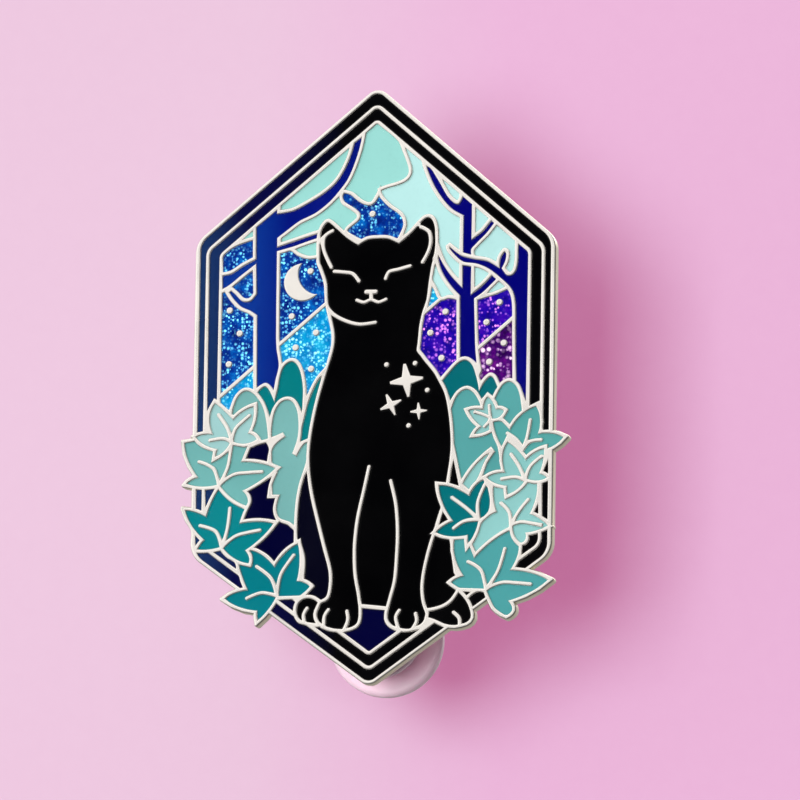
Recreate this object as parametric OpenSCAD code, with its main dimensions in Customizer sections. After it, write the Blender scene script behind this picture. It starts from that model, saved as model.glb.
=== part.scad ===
// Enamel pin: a tall six-sided frame with a black cat sitting between
// trees under a night sky, ivy hanging over both sides of the frame.
// A die-struck metal plate carries raised lines, each cell between the
// lines is filled with enamel, and two posts on the back take a rubber
// clutch each.
// Millimetres. X runs to the right as the picture is looked at, Z runs
// up it and the picture faces -Y. The origin is the centre of the flat
// back face.

/* [Plate] */
// Width of the frame across its two upright sides
frame_w = 33; // [26:0.5:44]
// Full thickness of the struck metal, back face to top of the lines
plate_t = 1.5; // [1.2:0.1:2.4]
// Depth of the cells between the raised lines
cell_depth = 0.5; // [0.3:0.05:0.8]
// Width of the raised metal lines
line_w = 0.4; // [0.34:0.02:0.44]
// How far the enamel surface lies below the top of the lines
enamel_drop = 0.22; // [0.05:0.01:0.25]

/* [Frame] */
// Extra metal left outside the outer border on the upright sides
rim_side = 0.5; // [0.44:0.02:0.6]
// Extra metal left outside the outer border on the sloping sides
rim_slope = 0.36; // [0.3:0.02:0.5]
// Corner radius of the frame
corner_r = 1.7; // [1:0.1:2.4]

/* [Posts] */
// Diameter of each post
post_d = 1.1; // [0.9:0.05:1.4]
// Length of each post from the back face to its point
post_len = 7.9; // [7:0.1:10]
// Height of the upper post above the centre
upper_post_z = 12; // [8:0.5:14]
// Distance of the lower post below the centre
lower_post_z = 22; // [14:0.5:22.5]
// Diameter of the round seat sunk in the back for each post
seat_d = 4; // [3.4:0.1:5]
// Depth of that seat
seat_depth = 0.15; // [0.1:0.05:0.3]

/* [Clutches] */
// Diameter of the wide gripping flange
flange_d = 10.4; // [9:0.2:12]
// Diameter of the flange that faces the plate
small_flange_d = 8; // [7.6:0.2:9]
// Diameter of the neck between the flanges
neck_d = 5.8; // [5.2:0.2:6]
// Length of the clutch along the post
clutch_len = 6.3; // [5.6:0.1:7]
// Gap left for cloth between the plate and the clutch
cloth_gap = 2.1; // [2.05:0.05:3]
// Clearance between the post and the bore, on the radius
bore_clear = 0.03; // [0.02:0.01:0.06]

/* [Node] */
// Which piece to build

/* [Hidden] */

k = frame_w / 33;
half_w = 16.5;
top_z = 27.3;
bottom_z = -27.3;
top_tan = 0.8545;
bottom_tan = 0.727;
floor_t = plate_t - cell_depth;
fill_t = cell_depth - enamel_drop;
smooth_r = 0.09;
ink = line_w / k;

// ---------- curves ----------

// point at share t of the smooth curve through p, between p[i] and p[i+1]
function along(p, i, t) =
  let (a = p[max(i - 1, 0)], b = p[i], c = p[i + 1], d = p[min(i + 2, len(p) - 1)])
  0.5 * (2 * b + (c - a) * t + (2 * a - 5 * b + 4 * c - d) * t * t
    + (3 * b - a - 3 * c + d) * t * t * t);

// smooth open curve through the points
function run(p, n = 2) = concat(
  [for (i = [0 : len(p) - 2]) for (j = [0 : n - 1]) along(p, i, j / n)],
  [p[len(p) - 1]]);

// closed outline of [x, z, bulge] corners: each side bows out by its
// bulge, as a share of the side's length
function bowed(p, n = 3) = [
  for (i = [0 : len(p) - 1])
    let (a = p[i], b = p[(i + 1) % len(p)], d = [b.x - a.x, b.y - a.y],
      c = [(a.x + b.x) / 2 - d.y * a[2], (a.y + b.y) / 2 + d.x * a[2]])
    for (j = [0 : (a[2] == 0 ? 0 : n - 1)])
      let (t = j / n)
      (1 - t) * (1 - t) * [a.x, a.y] + 2 * t * (1 - t) * c + t * t * [b.x, b.y]
];

// direction at point i of a path
function heading(q, i) =
  let (d = q[min(i + 1, len(q) - 1)] - q[max(i - 1, 0)])
  d / norm(d);

// half circle round the end e of a stroke, starting from direction h
function cap(e, h, r) = [for (a = [60 : -60 : -60])
  e + r * [h.x * cos(a) - h.y * sin(a), h.x * sin(a) + h.y * cos(a)]];

// raised stroke of width w along a smooth curve
module stroke(p, w = ink, n = 2) {
  q = run(p, n);
  m = len(q) - 1;
  left = [for (i = [0 : m]) q[i] + w / 2 * [-heading(q, i).y, heading(q, i).x]];
  right = [for (i = [m : -1 : 0]) q[i] - w / 2 * [-heading(q, i).y, heading(q, i).x]];
  polygon(concat(left, cap(q[m], heading(q, m), w / 2), right,
    cap(q[0], -heading(q, 0), w / 2)));
}

// ---------- frame ----------

// arc of radius r that rounds corner b between a and c
function fillet(a, b, c, r, n = 6) =
  let (u = (a - b) / norm(a - b), v = (c - b) / norm(c - b),
    half = acos(u * v) / 2, m = b + (u + v) / norm(u + v) * r / sin(half),
    p = b + u * r / tan(half) - m, q = b + v * r / tan(half) - m,
    from = atan2(p.y, p.x), turn = (atan2(q.y, q.x) - from + 540) % 360 - 180)
  [for (i = [0 : n]) m + r * [cos(from + turn * i / n), sin(from + turn * i / n)]];

// six-sided outline set in from the edge by side on the uprights and by
// slope on the sloping sides, with rounding r
module hexagon(side, slope, r) {
  w = half_w - side;
  top = top_z - slope / cos(atan(top_tan));
  low = bottom_z + slope / cos(atan(bottom_tan));
  c = [
    [0, top],
    [w, top - w * top_tan],
    [w, low + w * bottom_tan],
    [0, low],
    [-w, low + w * bottom_tan],
    [-w, top - w * top_tan]
  ];
  polygon([for (i = [0 : 5])
    each fillet(c[(i + 5) % 6], c[i], c[(i + 1) % 6], (i % 3 == 0 ? 0.7 : 1.3) * r)]);
}

module window() {
  hexagon(2.385, 2.45, 0.5);
}

// ---------- picture, from the back to the front ----------

// everything below a sloping line through p
module below_line(p) {
  polygon([p + [-60, -52.5], p + [60, 52.5], p + [60, -80], p + [-60, -80]]);
}

module undergrowth() {
  polygon([[-20, -23.3], [-20.3, -3.95], [-5.7, -3.25], [-3.9, -0.95], [2.5, -5.05],
    [7.5, -5.05], [7.95, -3.25], [14.35, -3.25], [20.7, -3.25], [21.05, -28.75], [-19.95, -28.75]]);
}

module left_canopy() {
  polygon(concat(
    run([[-14.55, 11.9], [-14.05, 12.25], [-12.75, 13], [-11.15, 13.55]]),
    [[-8.75, 13.55], [-8.85, 12.35]],
    run([[-8.85, 12.35], [-7.75, 12.5], [-7.1, 12.05], [-6.1, 11.7], [-5.2, 11.8]]),
    [[-2.25, 11.15], [0.45, 13.15]],
    run([[0.3, 17.8], [0.85, 18.05], [2.2, 18.45], [2.9, 18.9], [3.1, 19.7], [2.5, 21.35],
      [1.75, 23.1]]),
    [[2.1, 26.85], [-16.15, 26.85]]));
}

module right_canopy() {
  polygon(concat(
    [[1.75, 23.1], [2.1, 26.85], [16.65, 26.85]],
    [[16.9, 8.7], [12.05, 8.7]],
    run([[12.05, 8.7], [11, 8.25], [9.45, 7.8]]),
    [[7.6, 7.8]],
    run([[7.6, 7.8], [6.7, 7.95], [6.05, 7.75], [5.6, 8.6], [5.15, 9.45]]),
    [[2.3, 10.45], [0.35, 13.15]],
    run([[0.3, 17.8], [0.85, 18.05], [2.2, 18.45], [2.9, 18.9], [3.1, 19.7], [2.5, 21.35],
      [1.75, 23.1]])));
}

module glitter_patch() {
  polygon(concat(
    run([[-3, 17.7], [-2.25, 17.5], [-1.5, 16.9], [-0.8, 16.55], [-0.25, 16.7], [0.3, 17.7]]),
    run([[0.3, 17.7], [0.55, 17.1], [1.4, 16.25], [2.3, 15.6], [2.7, 14.6], [2.15, 13.25]]),
    [[0.9, 12.8], [-0.65, 12.8]],
    run([[-2.1, 13.55], [-2.75, 14.05], [-2.3, 14.6], [-1.7, 15.1], [-1.6, 15.6], [-2.25, 16.15],
      [-3, 16.65], [-3.2, 17.25], [-3, 17.7]])));
}

module left_trunk() {
  polygon(concat(
    [[-11.15, 18.65], [-6.9, 18.65]],
    [[-8.8, 16.8]],
    run([[-8.9, 15.9], [-7.7, 16.1], [-6.55, 16.65], [-4.9, 17.65], [-3.65, 18.8], [-2.75, 20.45],
      [-2.25, 22], [-1.9, 23.35]]),
    [[-1, 23.9]],
    run([[-1.15, 23.1], [-1.4, 21.75], [-1.85, 20.25], [-2.45, 18.8], [-3.15, 17.8],
      [-4.15, 16.65], [-5.5, 15.6], [-6.85, 14.95], [-7.75, 14.3], [-8.85, 13.45]]),
        [[-8.85, 12.9]],
    run([[-8.85, 12.9], [-7.6, 13.3], [-6.4, 13.7], [-4.85, 14.2]]),
    run([[-4.85, 13.45], [-6.4, 12.95], [-7.55, 12.55], [-8.85, 12.2]]),
    run([[-8.85, 11.35], [-8.8, 4.5], [-8.65, 2.95], [-8.5, 1.85], [-8.75, 0.7], [-9, -0.95]]),
    [[-9.85, -2.3], [-10.8, -0.95]],
    run([[-10.9, 6.4], [-11.5, 6.8], [-12.3, 7.15], [-13.05, 7.9], [-13.55, 8.65]]),
    run([[-13.15, 8.95], [-12.6, 8.5], [-12.05, 7.95], [-11.4, 7.95], [-10.95, 8.5]]),
    [[-11.05, 10.9]],
    run([[-11.05, 10.9], [-12.2, 10], [-13.25, 9.15], [-14.45, 8.45]]),
    [[-15, 9.05], [-14.75, 10.25]],
    run([[-14.3, 10.25], [-13.2, 10.45], [-12.2, 11.1], [-11.05, 11.7]])));
}

module right_trunk() {
  polygon(concat(
    [[7.75, 17.7], [8.95, 17.15], [8.95, 13.45]],
    run([[8.95, 13.45], [9.65, 13.95], [10.15, 14.55], [10.6, 15.15]]),
    [[11.1, 14.6]],
    run([[10.9, 14.45], [10.25, 13.6], [9.55, 12.9], [8.95, 12.25]]),
    [[8.95, 8.45]],
    run([[8.95, 8.45], [9.6, 8.95], [10.25, 9.6], [10.7, 10.15]]),
    [[11.35, 9.5]],
    run([[11.15, 9.35], [10.5, 8.7], [9.9, 8.15], [9.25, 7.7]]),
    run([[9.25, 7.7], [9.35, 4.95], [9.45, 2.95], [9.7, 1.15]]),
    [[8.65, -0.95], [7.75, 0.85], [7.65, 7.8]],
    run([[7.65, 7.95], [7.05, 8.6], [6.4, 9.45], [5.85, 10.5], [5.55, 11.9], [5.65, 12.9]]),
    run([[5.65, 12.9], [6, 11.8], [6.5, 10.8], [7.15, 9.9], [7.85, 9.15]]),
    [[7.85, 15.35]],
    run([[7.85, 15.25], [6.95, 15.75], [6.15, 16.55], [5.35, 17.7], [4.8, 18.8], [4.35, 20],
      [3.95, 21.35]]),
    [[4.35, 21.35]],
    run([[4.7, 20.45], [5.05, 19.9], [5.45, 19.25], [6, 18.35], [6.6, 17.3], [7.1, 16.75],
      [7.5, 16.55], [7.75, 17]])));
}

module far_right_trunk() {
  polygon(concat(
    run([[6.8, 12.7], [7.3, 12.3], [8, 11.8], [9.2, 11.5], [10.3, 11.3], [11.2, 10.8]]),
    run([[11.2, 10.8], [11.3, 11.45], [11.75, 12.15], [12.1, 11.9], [12.05, 11.15], [11.75, 10.5]]),
    run([[11.75, 10.5], [12.15, 10], [12.6, 10.15], [12.85, 11], [12.9, 13.15]]),
    [[15, 13.15], [15.25, -3.25], [14.05, -3.25]],
    run([[13.85, -2.15], [13.55, -1.05], [13.2, -0.3], [12.85, 0.15]]),
    run([[12.85, 0.15], [12.75, 4.95], [12.7, 7.25], [12.35, 8.5], [11.35, 9.5], [10.25, 10.35],
      [9.15, 10.8], [8.05, 10.95], [7.3, 11.5], [6.7, 12.2], [6.6, 12.55]])));
}

module left_back_bush() {
  polygon(concat(
    run([[-10.85, -0.7], [-10.4, -0.15], [-9.85, 0.15], [-9.4, -0.2], [-9.05, -0.9]]),
    run([[-9.05, -0.9], [-8.85, -0.15], [-8.7, 0.85], [-8.35, 1.85], [-7.6, 2.4], [-6.95, 2.15],
      [-6.5, 1.25], [-6.25, -0.3], [-6.3, -2.5]]),
    run([[-6.3, -2.5], [-6, -1.3], [-5.55, -0.15], [-5.05, 0.75], [-4.3, 1.6]]),
    [[-2.55, -1.4], [-2.5, -5.05], [-9.35, -5.5], [-11.2, -1.4]]));
}

module right_back_bush() {
  polygon(concat(
    run([[5.7, -0.15], [6.15, 0.4], [7, 1.4], [7.7, 2.1], [8.4, 2.35], [9.05, 1.95], [9.45, 1.05],
      [9.75, -0.15]]),
    run([[9.75, -0.15], [10.1, 0.4], [10.65, 0.85], [11.1, 0.6], [11.4, -0.05], [11.75, -0.7]]),
    [[12.05, -4.15], [6.15, -5.05]]));
}

module left_front_bush() {
  polygon(concat(
    run([[-12.95, -2.05], [-12.6, -1.05], [-12.05, -0.4], [-11.4, -0.25], [-10.6, -0.75],
      [-9.9, -1.85], [-9.55, -3.25], [-9.35, -4.85]]),
    run([[-9.35, -4.85], [-9.35, -3.7], [-9.1, -2.3], [-8.55, -1.4], [-7.85, -1.1], [-7.2, -1.35],
      [-6.75, -2.25], [-6.6, -3.6], [-6.7, -4.85], [-7.1, -6.05]]),
    run([[-6.95, -6.15], [-6.65, -5.6], [-6.25, -5.1], [-5.5, -4.8]]),
    [[-3.4, -5.05], [-3.3, -13.7], [-6.85, -13.7], [-6.85, -13.05]],
    run([[-6.85, -13.05], [-7.5, -12.45], [-8.5, -12.05], [-8.8, -11.05], [-8.55, -10]]),
    [[-9.35, -10]],
    run([[-9.35, -10], [-9.2, -8.9], [-8.75, -7.8]]),
    [[-9.4, -6.7]],
    run([[-9.4, -6.7], [-9.25, -5.7], [-8.8, -5.05], [-8.15, -4.55]]),
    run([[-8.25, -4.4], [-9.35, -4.85], [-10.45, -5.15], [-11.5, -5.6]]),
    [[-13.45, -5.6]]));
}

module right_front_bush() {
  polygon(concat(
    run([[6.95, -2.5], [7.3, -1.4], [7.8, -0.65], [8.55, -0.3], [9.3, -0.7], [9.85, -1.6],
      [10.15, -2.5]]),
    run([[10.85, -1.6], [11.3, -0.6], [11.8, 0.1], [12.45, 0.35], [13.1, -0.05], [13.5, -0.95],
      [13.75, -2.5]]),
    [[14.35, -4.15], [14.45, -10.5], [9.9, -11], [8.1, -9.15]],
    run([[8.1, -9.15], [7.75, -7.6], [7.35, -5.95], [7.05, -4.15]])));
}

module left_haunch() {
  polygon(concat(
    run([[-5.75, -6.15], [-5.95, -7.25], [-6.45, -8.8], [-6.75, -10.5], [-6.85, -12.35], [-6.85, -14]]),
    run([[-6.5, -14.15], [-6.1, -15.6], [-6.1, -16.9]]),
    [[-6.4, -19.65], [-2.3, -20.55], [-2.45, -10.5]]));
}

module right_haunch() {
  polygon(concat(
    [[5.7, -5.05], [7.35, -5.5], [8.1, -9.15], [8.2, -13.7], [7.35, -14.15], [7.75, -16.9],
      [8.45, -18.15]],
    [[8, -19.1], [7.25, -20.2], [6, -20.9], [4.55, -20.9], [4.45, -12.35]]));
}

module ground() {
  polygon([[-8.25, -19.35], [-6.75, -19.9], [-0.85, -20], [1.55, -20.2], [6.35, -20.2],
    [9.2, -28.75], [-9.9, -28.75]]);
}

module cat() {
  polygon(concat(
    run([[-5.2, 11.15], [-5.25, 12.6], [-5.15, 14], [-4.75, 14.8], [-4.3, 15.05], [-3.6, 14.55],
      [-2.55, 13.6], [-1.55, 12.95]]),
    run([[-1.55, 12.95], [-0.75, 13.4], [0.25, 13.5], [1.25, 13.45], [2.15, 13.05]]),
    run([[2.15, 13.05], [3.15, 13.9], [4.15, 15], [4.7, 15.35], [5.25, 15.15], [5.6, 14.15],
      [5.6, 12.25], [5.3, 10.7], [5.1, 9.35]]),
    run([[5.1, 9.35], [4.9, 7.7], [4.55, 6.6], [4.3, 5.4], [4.2, 4.25], [4.1, 3.15]]),
    run([[4.1, 3.15], [4.85, 2.15], [5.6, 1.25], [6.15, 0.3], [6.65, -0.7], [7, -2.15],
      [7.25, -4.15], [7.3, -5.95], [7.1, -7.8], [6.7, -10.25], [6.05, -12.55], [5.45, -14.45],
        [4.95, -16.55], [4.75, -18.25], [4.9, -19.65], [5.25, -20.65]]),
    run([[5.25, -20.65], [5.05, -21.45], [4.4, -21.95], [3.2, -22.2], [2, -21.85], [1.5, -21.1],
      [1.6, -20.2]]),
    [[-0.85, -19.95]],
    run([[-0.85, -19.95], [-0.85, -21.1], [-1.25, -21.85], [-2.55, -22.2], [-3.8, -22],
      [-4.65, -21.5], [-4.95, -20.65], [-4.5, -19.55]]),
    run([[-4.5, -19.55], [-3.85, -19.2], [-3.6, -18.1], [-3.65, -16.7], [-4.2, -14.7],
      [-4.85, -12.25], [-5.45, -9.8], [-5.8, -7.4], [-5.8, -5.4], [-5.45, -2.95], [-4.95, -0.7],
        [-4.3, 1.6], [-3.8, 3.4], [-3.75, 4.8], [-4.1, 6.35], [-4.4, 7.7], [-4.5, 9.25],
          [-4.9, 10.45], [-5.2, 11.15]])));
}

module left_hind_paw() {
  polygon(concat(run([[-4.2, -19.8], [-5.05, -19.2], [-5.85, -19.1], [-6.6, -19.55],
    [-6.8, -20.45], [-6.45, -21.25], [-5.65, -21.55], [-4.55, -21.7]]), [[-3.3, -21]]));
}

module right_hind_paw() {
  polygon(concat(
    run([[4.65, -20.45], [5.7, -20.3], [6.7, -20], [7.45, -19.45], [8.05, -18.55]]),
    run([[8.05, -18.55], [8.8, -19.35], [9.25, -20.25], [9.35, -21.1], [8.85, -21.65],
      [7.75, -21.9], [6.75, -21.75], [5.85, -21.35], [4.65, -21]])));
}

// ---------- ivy ----------

// five-pointed leaf: corners run clockwise, tip and notch by turns
module left_ivy_top() {
  polygon(bowed([
    [-14.8, -4.15, 0.28], [-14.5, -1.25, 0.06], [-12.75, -2.8, 0.15], [-10.75, -1.6, 0.17],
      [-11.2, -4.15, 0.25],
    [-10.35, -4.85, 0.15], [-11.8, -5.35, 0], [-12.85, -5.15, 0.2], [-14.5, -6.6, 0.05],
      [-14.35, -5.75, 0.2],
    [-16.45, -4.5, 0.15]
  ]));
}

module left_ivy_second() {
  polygon(bowed([
    [-17.35, -4.95, -0.1], [-14.65, -4.15, 0], [-11.15, -4.15, -0.05], [-11.25, -5.5, 0],
      [-11.75, -6.7, 0.12],
    [-8.5, -7.4, 0.08], [-11.55, -9.5, 0.45], [-11.35, -11.05, 0.16], [-14, -9.05, 0.14],
      [-17.2, -8.9, 0.2],
    [-16.1, -8.15, 0.16]
  ]));
}

module left_ivy_third() {
  polygon(bowed([
    [-17.25, -11, 0.12], [-15.15, -11.6, 0.08], [-14, -9.05, 0], [-11.25, -10.5, 0],
      [-11.35, -11.05, -0.05],
    [-11.8, -12.25, 0.12], [-8.6, -12.35, 0.1], [-11.25, -14.9, 0.35], [-11, -16.25, 0.2],
      [-13.65, -14.7, 0.1],
    [-16.05, -14.9, 0.1], [-15.4, -13.9, 0.16]
  ]));
}

module left_ivy_bottom() {
  polygon(bowed([
    [-12.2, -16, 0], [-11.3, -14.6, 0.2], [-8.75, -16.15, 0.16], [-6.5, -14.05, 0.12],
      [-6.5, -17.55, 0.2],
    [-5.25, -18.15, 0.12], [-6.4, -19.15, 0], [-8.4, -19.2, 0.1], [-10.3, -21.55, 0.05],
      [-10.4, -20.45, 0.16],
    [-13.5, -19.25, 0.16], [-11.35, -18.35, 0.05]
  ]));
}

module right_ivy_small() {
  polygon(bowed([
    [8.5, -2.3, 0.15], [9.95, -2.15, 0.22], [10.45, -0.95, 0.2], [11.3, -2.15, 0.25],
      [12.15, -2.4, 0.15],
    [11.6, -3.15, 0], [10.8, -3.35, 0], [10.8, -4.25, 0.15], [9.05, -4.7, 0.15], [9.7, -3.85, 0.15]
  ]));
}

module right_ivy_back() {
  polygon(bowed([
    [10.8, -3.25, 0], [11.8, -3.25, 0.05], [12.5, -3.95, 0.2], [14.95, -1.85, 0.22],
      [15.25, -4.4, 0.18],
    [17.65, -4.85, 0.15], [15.75, -6.15, 0], [14.4, -7.8, 0], [11.95, -7.8, 0], [11.55, -5.6, 0.1]
  ]));
}

module right_ivy_blade() {
  polygon(bowed([
    [8.1, -9.05, 0.12], [10.8, -5.9, 0], [11, -6.15, -0.02], [10.35, -7.15, 0.05], [9.05, -9.9, 0]
  ]));
}

module right_ivy_dark() {
  polygon(bowed([
    [5.95, -8.95, 0.16], [8.85, -9.9, 0.2], [10.2, -8.45, 0.25], [10.8, -11.6, 0], [10, -12.35, 0.14],
    [8.75, -14.8, 0.05], [8.65, -13.8, 0.18], [5.65, -13.45, 0.12], [7.25, -12.3, 0.16]
  ]));
}

module right_ivy_third() {
  polygon(bowed([
    [11.05, -8.7, 0], [15.2, -8.7, 0.15], [14.6, -11.7, 0.14], [16.35, -12.9, 0.1], [14.2, -13.6, 0.55],
    [13.55, -14.55, 0.25], [12.75, -13, -0.1], [9.5, -15.45, 0], [9.1, -14.45, -0.1], [9.9, -12.55, 0],
    [10.55, -11.9, 0.1], [11.25, -11.5, 0.15]
  ]));
}

module right_ivy_second() {
  polygon(bowed([
    [11.95, -7.9, 0.25], [12.25, -5.05, 0.12], [14, -6.7, 0.16], [15.8, -5.7, 0.12], [15.4, -8.05, 0.2],
    [16.2, -8.6, 0.22], [14.15, -8.8, 0.16], [12.25, -10.25, 0.05], [12.15, -9.35, 0.2],
      [10.2, -8.45, 0.18]
  ]));
}

module right_ivy_bottom() {
  polygon(bowed([
    [7.45, -13.8, 0], [13.55, -13.05, 0], [13.65, -14.6, 0.15], [12.95, -16.7, 0.12],
      [16.45, -17.7, 0.12],
    [12.8, -19.65, 0.25], [13.1, -20.45, 0.25], [12.4, -21.05, 0.12], [11.2, -20.25, 0.04],
      [10.45, -18.65, 0], [8.15, -18.55, 0.1], [7.15, -17.9, 0.15],
    [8.3, -17.25, 0.2]
  ]));
}

// all motifs by number, a later one lies over an earlier one
module motif(i) {
  if (i == 0) hexagon(rim_side - 0.2, rim_slope - 0.2, corner_r - 0.2);
  if (i == 1) hexagon(1.15, 1.33, corner_r - 0.8);
  if (i == 2) window();
  if (i == 3) below_line([-14.3, -1.15]);
  if (i == 4) below_line([4.8, 6.7]);
  if (i == 5) below_line([9.7, 3.4]);
  if (i == 6) undergrowth();
  if (i == 7) ground();
  if (i == 8) left_canopy();
  if (i == 9) right_canopy();
  if (i == 10) glitter_patch();
  if (i == 11) left_trunk();
  if (i == 12) right_trunk();
  if (i == 13) far_right_trunk();
  if (i == 14) left_back_bush();
  if (i == 15) right_back_bush();
  if (i == 16) left_front_bush();
  if (i == 17) right_front_bush();
  if (i == 18) left_haunch();
  if (i == 19) right_haunch();
  if (i == 20) left_hind_paw();
  if (i == 21) right_hind_paw();
  if (i == 22) cat();
  if (i == 23) left_ivy_bottom();
  if (i == 24) left_ivy_third();
  if (i == 25) left_ivy_second();
  if (i == 26) left_ivy_top();
  if (i == 27) right_ivy_bottom();
  if (i == 28) right_ivy_back();
  if (i == 29) right_ivy_blade();
  if (i == 30) right_ivy_dark();
  if (i == 31) right_ivy_third();
  if (i == 32) right_ivy_second();
  if (i == 33) right_ivy_small();
}

first_inside = 3;
last_inside = 18;
last_motif = 33;

// ---------- strokes and dots raised inside a cell ----------

module veins(c, tips) {
  for (t = tips) stroke([c, (c + t) / 2 + 0.14 * [c.y - t.y, t.x - c.x] * sign(t.x - c.x + 0.01), t]);
}

// four-pointed star: centre, length of the arms, turn
module star(c, r, turn) {
  translate(c) rotate(turn)
    polygon([for (i = [0 : 3]) each [
      r * [cos(90 * i - 5), sin(90 * i - 5)],
      r * [cos(90 * i + 5), sin(90 * i + 5)],
      0.38 * r * [cos(90 * i + 45), sin(90 * i + 45)]
    ]]);
}

module moon() {
  difference() {
    translate([-6.6, 9.45]) circle(r = 1.75, $fn = 36);
    translate([-5.1, 10.2]) circle(r = 1.86, $fn = 36);
  }
}

dots = [
  [-0.3, 15.6], [-5.9, 10.45], [-7.55, 6.35], [-5.3, 4.85], [-7.15, 3.5], [-5.7, 1.55],
  [-13.25, 6.95], [-12.3, 4.85], [-13.25, 2.05], [6.5, 6.6], [5.15, 4.7], [6.2, 2.4],
  [11.4, 7.4], [10.25, 5.6], [11.85, 3.7], [10.55, 2]
];
chest_dots = [
  [1.2, 1.85], [3.8, 1.95], [4.95, -0.5], [3.3, -3.7]
];

module face() {
  stroke([[-4, 10.8], [-4.45, 11.7], [-4.75, 12.6], [-4.65, 13.6], [-3.95, 14.1]]);
  stroke([[4.35, 11.15], [4.8, 12], [5.05, 12.9], [4.9, 13.9], [4.15, 14.35]]);
  stroke([[-3.7, 10.4], [-2.7, 10.3], [-2, 10.15], [-1.45, 9.5]]);
  stroke([[1, 9.7], [1.3, 10.3], [2.1, 10.5], [3.2, 10.8]]);
  stroke([[-0.75, 8.5], [0.1, 8.5]], 1.15 * ink);
  stroke([[-0.3, 8.45], [-0.3, 7.8]], 1.05 * ink);
  stroke([[-1.6, 7.75], [-0.95, 7.55], [-0.3, 7.8], [0.35, 7.55], [1.05, 7.8]], 0.9 * ink);
  stroke([[-4.3, 7.15], [-3.75, 6.5], [-2.65, 5.9], [-1.35, 5.55], [0.1, 5.7]]);
}

module legs() {
  stroke([[-0.25, -7.4], [-0.7, -9.6], [-1.2, -12], [-1.45, -14.6], [-1.35, -17.1],
    [-1.05, -18.7], [-0.85, -20]]);
  stroke([[1.75, -8.7], [2.25, -10.8], [2.45, -13.25], [2.4, -15.55], [2.25, -17.65],
    [1.9, -19.1], [1.6, -20.25]]);
  stroke([[-3.75, -20.3], [-4.1, -20.9], [-4.1, -21.9]]);
  stroke([[-2.05, -20.45], [-1.95, -21.2], [-2.3, -22.1]]);
  stroke([[2.7, -20.4], [2.4, -21], [2.65, -22]]);
  stroke([[4.2, -20.7], [4.3, -21.35], [3.9, -22.1]]);
}

module stars() {
  star([3.05, 0.4], 1.55, 8);
  star([1.65, -1.8], 1.05, 24);
  star([4.2, -2.4], 0.78, 4);
}

// what is raised inside cell i
module detail(i) {
  if (i == 22) {
    face();
    legs();
    stars();
  }
  if (i == 20) stroke([[-5.7, -20.15], [-6, -20.75], [-5.85, -21.55]]);
  if (i == 21) stroke([[7.65, -20.6], [8.15, -21.1], [8.2, -21.8]]);
  if (i == 23) {
    veins([-8.45, -19], [[-10.35, -16.35], [-11.2, -19.2]]);
    stroke([[-8.45, -19], [-8.15, -17.1], [-7, -15.35]]);
  }
  if (i == 24) {
    stroke([[-13.6, -14.6], [-14.15, -13.15], [-15.6, -12.6]]);
    stroke([[-13.6, -14.6], [-13.1, -12.9], [-12.9, -11.05]]);
    stroke([[-13.6, -14.6], [-12.3, -13.55], [-10.15, -13.05]]);
  }
  if (i == 25) {
    stroke([[-13.95, -8.95], [-14.5, -7.4], [-15.8, -6.8]]);
    stroke([[-13.95, -8.95], [-13.2, -7.4], [-12.85, -5.15]]);
    stroke([[-13.95, -8.95], [-12.65, -8], [-10.05, -7.75]]);
  }
  if (i == 26) {
    stroke([[-12.85, -5.05], [-13.25, -3.8], [-14.1, -2.55]]);
    stroke([[-12.85, -5.05], [-12.55, -3.85], [-11.3, -2.65]]);
    stroke([[-12.85, -5.05], [-13.6, -4.7], [-14.85, -4.85]]);
  }
  if (i == 27) {
    stroke([[10.55, -18.55], [10.05, -16.8], [8.9, -16.05]]);
    stroke([[10.55, -18.55], [11.6, -16.9], [12.2, -14.9]]);
    stroke([[10.55, -18.55], [11.9, -17.95], [14.55, -18.1]]);
  }
  if (i == 28) {
    stroke([[13.7, -5.95], [13.1, -5.05], [12.3, -4.5]]);
    stroke([[13.7, -5.95], [14.1, -4.8], [14.35, -3.3]]);
    stroke([[13.7, -5.95], [14.35, -5.25], [15.35, -5.1]]);
  }
  if (i == 30) {
    stroke([[9.8, -12.25], [8.7, -11.25], [7.35, -10.25]]);
    stroke([[9.8, -12.25], [9.7, -10.7], [10.3, -9.1]]);
    stroke([[9.8, -12.25], [8.45, -12.4], [7.55, -13]]);
  }
  if (i == 31) {
    stroke([[12.7, -12.85], [12.55, -11.6], [11.8, -10.8]]);
    stroke([[12.7, -12.85], [13.45, -11.5], [14.25, -10.5]]);
    stroke([[12.7, -12.85], [13.55, -12.5], [15.45, -12.8]]);
  }
  if (i == 32) {
    stroke([[13.95, -8.75], [13.4, -7.5], [12.65, -6.4]]);
    stroke([[13.95, -8.75], [14.4, -7.5], [15.4, -6.6]]);
    stroke([[13.95, -8.75], [13.1, -8.45], [11.85, -8.6]]);
  }
  if (i == 33) {
    stroke([[10.75, -3.1], [10.05, -2.75], [9.3, -2.55]], 0.85 * ink);
    stroke([[10.75, -3.1], [10.65, -2.5], [10.6, -1.95]], 0.85 * ink);
    stroke([[10.75, -3.1], [10.5, -3.5], [10.2, -3.85]], 0.85 * ink);
  }
}

// ---------- cells ----------

// motif i where nothing lies over it
module visible(i) {
  difference() {
    intersection() {
      motif(i);
      if (i >= first_inside && i <= last_inside) window();
      else hexagon(-5, -5, 1);
    }
    for (j = [i + 1 : 1 : last_motif])
      if (j >= first_inside && j <= last_inside) intersection() {
        motif(j);
        window();
      }
      else motif(j);
  }
}

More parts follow.
